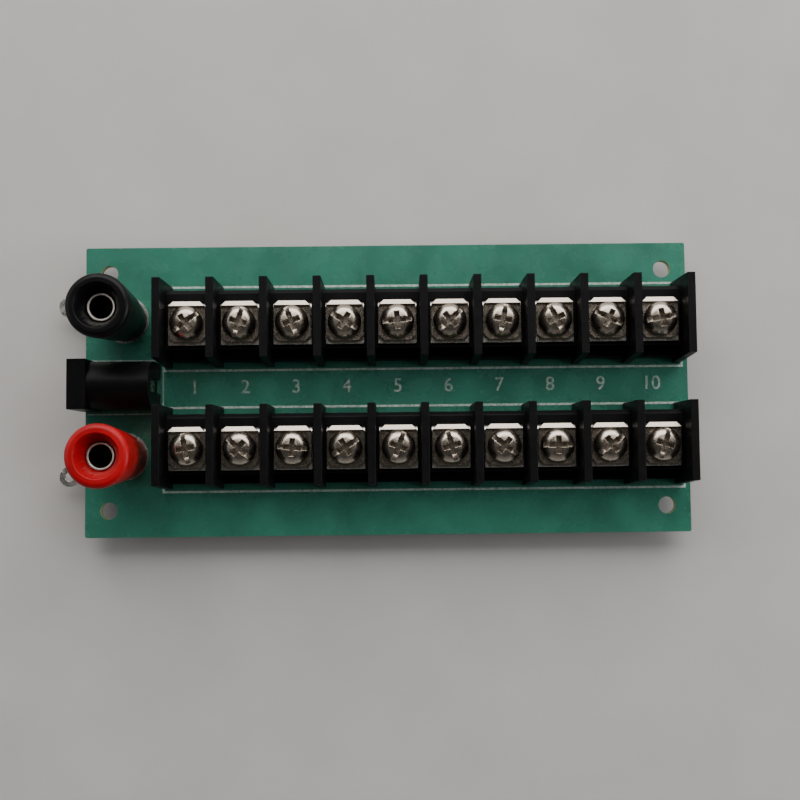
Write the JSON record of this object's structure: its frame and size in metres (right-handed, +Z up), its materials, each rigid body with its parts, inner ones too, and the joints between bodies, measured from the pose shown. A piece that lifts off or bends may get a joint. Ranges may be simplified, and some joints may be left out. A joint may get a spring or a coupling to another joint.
{
  "type": "power distribution board",
  "caption": "Green circuit board carrying two rows of barrier screw terminals, red and black binding posts and a barrel power jack.",
  "frame": {"origin": "centre of the four mounting holes on the underside of the board", "axes": "+Z up out of the component side, +X along the terminal rows away from the binding posts, +Y towards the rear row and the black post"},
  "size_m": [0.1186, 0.0544, 0.026],
  "materials": {
    "green_board": "green solder mask over glass-epoxy laminate, glossy",
    "black_moulding": "black moulded thermoplastic, satin",
    "jack_plastic": "black moulded plastic, semi-gloss",
    "black_plastic": "black moulded plastic, glossy",
    "red_plastic": "red moulded plastic, glossy",
    "plated_screw": "nickel-plated steel",
    "plated_clamp": "nickel-plated steel",
    "nickel_brass": "nickel-plated brass",
    "tinned_brass": "tin-plated brass"
  },
  "bodies": {
    "root": {"circuit_board": "green_board", "rear_strip_housing": "black_moulding", "front_strip_housing": "black_moulding", "rear_strip_contacts": "tinned_brass", "front_strip_contacts": "tinned_brass", "black_post_stud": "nickel_brass", "red_post_stud": "nickel_brass", "black_post_base": "black_plastic", "red_post_base": "red_plastic", "post_hex_nuts": "nickel_brass", "post_solder_lugs": "tinned_brass", "jack_housing": "jack_plastic", "jack_centre_pin": "nickel_brass", "jack_sleeve_tag": "tinned_brass", "jack_shunt_contact": "tinned_brass"},
    "rear_clamp_01": {"rear_clamp_01": "plated_clamp"},
    "rear_screw_01": {"rear_screw_01": "plated_screw"},
    "rear_clamp_02": {"rear_clamp_02": "plated_clamp"},
    "rear_screw_02": {"rear_screw_02": "plated_screw"},
    "rear_clamp_03": {"rear_clamp_03": "plated_clamp"},
    "rear_screw_03": {"rear_screw_03": "plated_screw"},
    "rear_clamp_04": {"rear_clamp_04": "plated_clamp"},
    "rear_screw_04": {"rear_screw_04": "plated_screw"},
    "rear_clamp_05": {"rear_clamp_05": "plated_clamp"},
    "rear_screw_05": {"rear_screw_05": "plated_screw"},
    "rear_clamp_06": {"rear_clamp_06": "plated_clamp"},
    "rear_screw_06": {"rear_screw_06": "plated_screw"},
    "rear_clamp_07": {"rear_clamp_07": "plated_clamp"},
    "rear_screw_07": {"rear_screw_07": "plated_screw"},
    "rear_clamp_08": {"rear_clamp_08": "plated_clamp"},
    "rear_screw_08": {"rear_screw_08": "plated_screw"},
    "rear_clamp_09": {"rear_clamp_09": "plated_clamp"},
    "rear_screw_09": {"rear_screw_09": "plated_screw"},
    "rear_clamp_10": {"rear_clamp_10": "plated_clamp"},
    "rear_screw_10": {"rear_screw_10": "plated_screw"},
    "front_clamp_01": {"front_clamp_01": "plated_clamp"},
    "front_screw_01": {"front_screw_01": "plated_screw"},
    "front_clamp_02": {"front_clamp_02": "plated_clamp"},
    "front_screw_02": {"front_screw_02": "plated_screw"},
    "front_clamp_03": {"front_clamp_03": "plated_clamp"},
    "front_screw_03": {"front_screw_03": "plated_screw"},
    "front_clamp_04": {"front_clamp_04": "plated_clamp"},
    "front_screw_04": {"front_screw_04": "plated_screw"},
    "front_clamp_05": {"front_clamp_05": "plated_clamp"},
    "front_screw_05": {"front_screw_05": "plated_screw"},
    "front_clamp_06": {"front_clamp_06": "plated_clamp"},
    "front_screw_06": {"front_screw_06": "plated_screw"},
    "front_clamp_07": {"front_clamp_07": "plated_clamp"},
    "front_screw_07": {"front_screw_07": "plated_screw"},
    "front_clamp_08": {"front_clamp_08": "plated_clamp"},
    "front_screw_08": {"front_screw_08": "plated_screw"},
    "front_clamp_09": {"front_clamp_09": "plated_clamp"},
    "front_screw_09": {"front_screw_09": "plated_screw"},
    "front_clamp_10": {"front_clamp_10": "plated_clamp"},
    "front_screw_10": {"front_screw_10": "plated_screw"},
    "black_collar": {"black_post_collar": "nickel_brass"},
    "black_knob": {"black_post_knob": "black_plastic"},
    "red_collar": {"red_post_collar": "nickel_brass"},
    "red_knob": {"red_post_knob": "red_plastic"},
    "sleeve_leaf": {"jack_sleeve_leaf": "tinned_brass"}
  },
  "joints": [
    {"name": "rear_clamp_01_lift", "type": "slide", "parent": "root", "child": "rear_clamp_01", "axis": [0, 0, 1], "range_m": [0, 0.003]},
    {"name": "rear_screw_01_turn", "type": "hinge", "parent": "rear_clamp_01", "child": "rear_screw_01", "pos_m": [-0.0361, 0.01179, 0.0096], "axis": [0, 0, 1], "range_deg": [0, 1361]},
    {"name": "rear_clamp_02_lift", "type": "slide", "parent": "root", "child": "rear_clamp_02", "axis": [0, 0, 1], "range_m": [0, 0.003]},
    {"name": "rear_screw_02_turn", "type": "hinge", "parent": "rear_clamp_02", "child": "rear_screw_02", "pos_m": [-0.02658, 0.01179, 0.0096], "axis": [0, 0, 1], "range_deg": [0, 1361]},
    {"name": "rear_clamp_03_lift", "type": "slide", "parent": "root", "child": "rear_clamp_03", "axis": [0, 0, 1], "range_m": [0, 0.003]},
    {"name": "rear_screw_03_turn", "type": "hinge", "parent": "rear_clamp_03", "child": "rear_screw_03", "pos_m": [-0.01705, 0.01179, 0.0096], "axis": [0, 0, 1], "range_deg": [0, 1361]},
    {"name": "rear_clamp_04_lift", "type": "slide", "parent": "root", "child": "rear_clamp_04", "axis": [0, 0, 1], "range_m": [0, 0.003]},
    {"name": "rear_screw_04_turn", "type": "hinge", "parent": "rear_clamp_04", "child": "rear_screw_04", "pos_m": [-0.00753, 0.01179, 0.0096], "axis": [0, 0, 1], "range_deg": [0, 1361]},
    {"name": "rear_clamp_05_lift", "type": "slide", "parent": "root", "child": "rear_clamp_05", "axis": [0, 0, 1], "range_m": [0, 0.003]},
    {"name": "rear_screw_05_turn", "type": "hinge", "parent": "rear_clamp_05", "child": "rear_screw_05", "pos_m": [0.002, 0.01179, 0.0096], "axis": [0, 0, 1], "range_deg": [0, 1361]},
    {"name": "rear_clamp_06_lift", "type": "slide", "parent": "root", "child": "rear_clamp_06", "axis": [0, 0, 1], "range_m": [0, 0.003]},
    {"name": "rear_screw_06_turn", "type": "hinge", "parent": "rear_clamp_06", "child": "rear_screw_06", "pos_m": [0.01152, 0.01179, 0.0096], "axis": [0, 0, 1], "range_deg": [0, 1361]},
    {"name": "rear_clamp_07_lift", "type": "slide", "parent": "root", "child": "rear_clamp_07", "axis": [0, 0, 1], "range_m": [0, 0.003]},
    {"name": "rear_screw_07_turn", "type": "hinge", "parent": "rear_clamp_07", "child": "rear_screw_07", "pos_m": [0.02105, 0.01179, 0.0096], "axis": [0, 0, 1], "range_deg": [0, 1361]},
    {"name": "rear_clamp_08_lift", "type": "slide", "parent": "root", "child": "rear_clamp_08", "axis": [0, 0, 1], "range_m": [0, 0.003]},
    {"name": "rear_screw_08_turn", "type": "hinge", "parent": "rear_clamp_08", "child": "rear_screw_08", "pos_m": [0.03057, 0.01179, 0.0096], "axis": [0, 0, 1], "range_deg": [0, 1361]},
    {"name": "rear_clamp_09_lift", "type": "slide", "parent": "root", "child": "rear_clamp_09", "axis": [0, 0, 1], "range_m": [0, 0.003]},
    {"name": "rear_screw_09_turn", "type": "hinge", "parent": "rear_clamp_09", "child": "rear_screw_09", "pos_m": [0.0401, 0.01179, 0.0096], "axis": [0, 0, 1], "range_deg": [0, 1361]},
    {"name": "rear_clamp_10_lift", "type": "slide", "parent": "root", "child": "rear_clamp_10", "axis": [0, 0, 1], "range_m": [0, 0.003]},
    {"name": "rear_screw_10_turn", "type": "hinge", "parent": "rear_clamp_10", "child": "rear_screw_10", "pos_m": [0.04962, 0.01179, 0.0096], "axis": [0, 0, 1], "range_deg": [0, 1361]},
    {"name": "front_clamp_01_lift", "type": "slide", "parent": "root", "child": "front_clamp_01", "axis": [0, 0, 1], "range_m": [0, 0.003]},
    {"name": "front_screw_01_turn", "type": "hinge", "parent": "front_clamp_01", "child": "front_screw_01", "pos_m": [-0.0361, -0.01089, 0.0096], "axis": [0, 0, 1], "range_deg": [0, 1361]},
    {"name": "front_clamp_02_lift", "type": "slide", "parent": "root", "child": "front_clamp_02", "axis": [0, 0, 1], "range_m": [0, 0.003]},
    {"name": "front_screw_02_turn", "type": "hinge", "parent": "front_clamp_02", "child": "front_screw_02", "pos_m": [-0.02658, -0.01089, 0.0096], "axis": [0, 0, 1], "range_deg": [0, 1361]},
    {"name": "front_clamp_03_lift", "type": "slide", "parent": "root", "child": "front_clamp_03", "axis": [0, 0, 1], "range_m": [0, 0.003]},
    {"name": "front_screw_03_turn", "type": "hinge", "parent": "front_clamp_03", "child": "front_screw_03", "pos_m": [-0.01705, -0.01089, 0.0096], "axis": [0, 0, 1], "range_deg": [0, 1361]},
    {"name": "front_clamp_04_lift", "type": "slide", "parent": "root", "child": "front_clamp_04", "axis": [0, 0, 1], "range_m": [0, 0.003]},
    {"name": "front_screw_04_turn", "type": "hinge", "parent": "front_clamp_04", "child": "front_screw_04", "pos_m": [-0.00753, -0.01089, 0.0096], "axis": [0, 0, 1], "range_deg": [0, 1361]},
    {"name": "front_clamp_05_lift", "type": "slide", "parent": "root", "child": "front_clamp_05", "axis": [0, 0, 1], "range_m": [0, 0.003]},
    {"name": "front_screw_05_turn", "type": "hinge", "parent": "front_clamp_05", "child": "front_screw_05", "pos_m": [0.002, -0.01089, 0.0096], "axis": [0, 0, 1], "range_deg": [0, 1361]},
    {"name": "front_clamp_06_lift", "type": "slide", "parent": "root", "child": "front_clamp_06", "axis": [0, 0, 1], "range_m": [0, 0.003]},
    {"name": "front_screw_06_turn", "type": "hinge", "parent": "front_clamp_06", "child": "front_screw_06", "pos_m": [0.01152, -0.01089, 0.0096], "axis": [0, 0, 1], "range_deg": [0, 1361]},
    {"name": "front_clamp_07_lift", "type": "slide", "parent": "root", "child": "front_clamp_07", "axis": [0, 0, 1], "range_m": [0, 0.003]},
    {"name": "front_screw_07_turn", "type": "hinge", "parent": "front_clamp_07", "child": "front_screw_07", "pos_m": [0.02105, -0.01089, 0.0096], "axis": [0, 0, 1], "range_deg": [0, 1361]},
    {"name": "front_clamp_08_lift", "type": "slide", "parent": "root", "child": "front_clamp_08", "axis": [0, 0, 1], "range_m": [0, 0.003]},
    {"name": "front_screw_08_turn", "type": "hinge", "parent": "front_clamp_08", "child": "front_screw_08", "pos_m": [0.03057, -0.01089, 0.0096], "axis": [0, 0, 1], "range_deg": [0, 1361]},
    {"name": "front_clamp_09_lift", "type": "slide", "parent": "root", "child": "front_clamp_09", "axis": [0, 0, 1], "range_m": [0, 0.003]},
    {"name": "front_screw_09_turn", "type": "hinge", "parent": "front_clamp_09", "child": "front_screw_09", "pos_m": [0.0401, -0.01089, 0.0096], "axis": [0, 0, 1], "range_deg": [0, 1361]},
    {"name": "front_clamp_10_lift", "type": "slide", "parent": "root", "child": "front_clamp_10", "axis": [0, 0, 1], "range_m": [0, 0.003]},
    {"name": "front_screw_10_turn", "type": "hinge", "parent": "front_clamp_10", "child": "front_screw_10", "pos_m": [0.04962, -0.01089, 0.0096], "axis": [0, 0, 1], "range_deg": [0, 1361]},
    {"name": "black_collar_lift", "type": "slide", "parent": "root", "child": "black_collar", "axis": [0, 0, 1], "range_m": [0, 0.004]},
    {"name": "black_knob_turn", "type": "hinge", "parent": "black_collar", "child": "black_knob", "pos_m": [-0.04915, 0.01357, 0.0117], "axis": [0, 0, 1], "range_deg": [0, 1801]},
    {"name": "red_collar_lift", "type": "slide", "parent": "root", "child": "red_collar", "axis": [0, 0, 1], "range_m": [0, 0.004]},
    {"name": "red_knob_turn", "type": "hinge", "parent": "red_collar", "child": "red_knob", "pos_m": [-0.04915, -0.01213, 0.0117], "axis": [0, 0, 1], "range_deg": [0, 1801]},
    {"name": "sleeve_leaf_flex", "type": "hinge", "parent": "root", "child": "sleeve_leaf", "pos_m": [-0.0467, 0.0008, 0.00308], "axis": [0, -1, 0], "range_deg": [0, 5]}
  ],
  "couplings": [
    {"joint": "rear_screw_01_turn", "follows": "rear_clamp_01_lift", "rad_per_m": 7915.8},
    {"joint": "rear_screw_02_turn", "follows": "rear_clamp_02_lift", "rad_per_m": 7915.8},
    {"joint": "rear_screw_03_turn", "follows": "rear_clamp_03_lift", "rad_per_m": 7915.8},
    {"joint": "rear_screw_04_turn", "follows": "rear_clamp_04_lift", "rad_per_m": 7915.8},
    {"joint": "rear_screw_05_turn", "follows": "rear_clamp_05_lift", "rad_per_m": 7915.8},
    {"joint": "rear_screw_06_turn", "follows": "rear_clamp_06_lift", "rad_per_m": 7915.8},
    {"joint": "rear_screw_07_turn", "follows": "rear_clamp_07_lift", "rad_per_m": 7915.8},
    {"joint": "rear_screw_08_turn", "follows": "rear_clamp_08_lift", "rad_per_m": 7915.8},
    {"joint": "rear_screw_09_turn", "follows": "rear_clamp_09_lift", "rad_per_m": 7915.8},
    {"joint": "rear_screw_10_turn", "follows": "rear_clamp_10_lift", "rad_per_m": 7915.8},
    {"joint": "front_screw_01_turn", "follows": "front_clamp_01_lift", "rad_per_m": 7915.8},
    {"joint": "front_screw_02_turn", "follows": "front_clamp_02_lift", "rad_per_m": 7915.8},
    {"joint": "front_screw_03_turn", "follows": "front_clamp_03_lift", "rad_per_m": 7915.8},
    {"joint": "front_screw_04_turn", "follows": "front_clamp_04_lift", "rad_per_m": 7915.8},
    {"joint": "front_screw_05_turn", "follows": "front_clamp_05_lift", "rad_per_m": 7915.8},
    {"joint": "front_screw_06_turn", "follows": "front_clamp_06_lift", "rad_per_m": 7915.8},
    {"joint": "front_screw_07_turn", "follows": "front_clamp_07_lift", "rad_per_m": 7915.8},
    {"joint": "front_screw_08_turn", "follows": "front_clamp_08_lift", "rad_per_m": 7915.8},
    {"joint": "front_screw_09_turn", "follows": "front_clamp_09_lift", "rad_per_m": 7915.8},
    {"joint": "front_screw_10_turn", "follows": "front_clamp_10_lift", "rad_per_m": 7915.8},
    {"joint": "black_knob_turn", "follows": "black_collar_lift", "rad_per_m": 7854},
    {"joint": "red_knob_turn", "follows": "red_collar_lift", "rad_per_m": 7854}
  ]
}
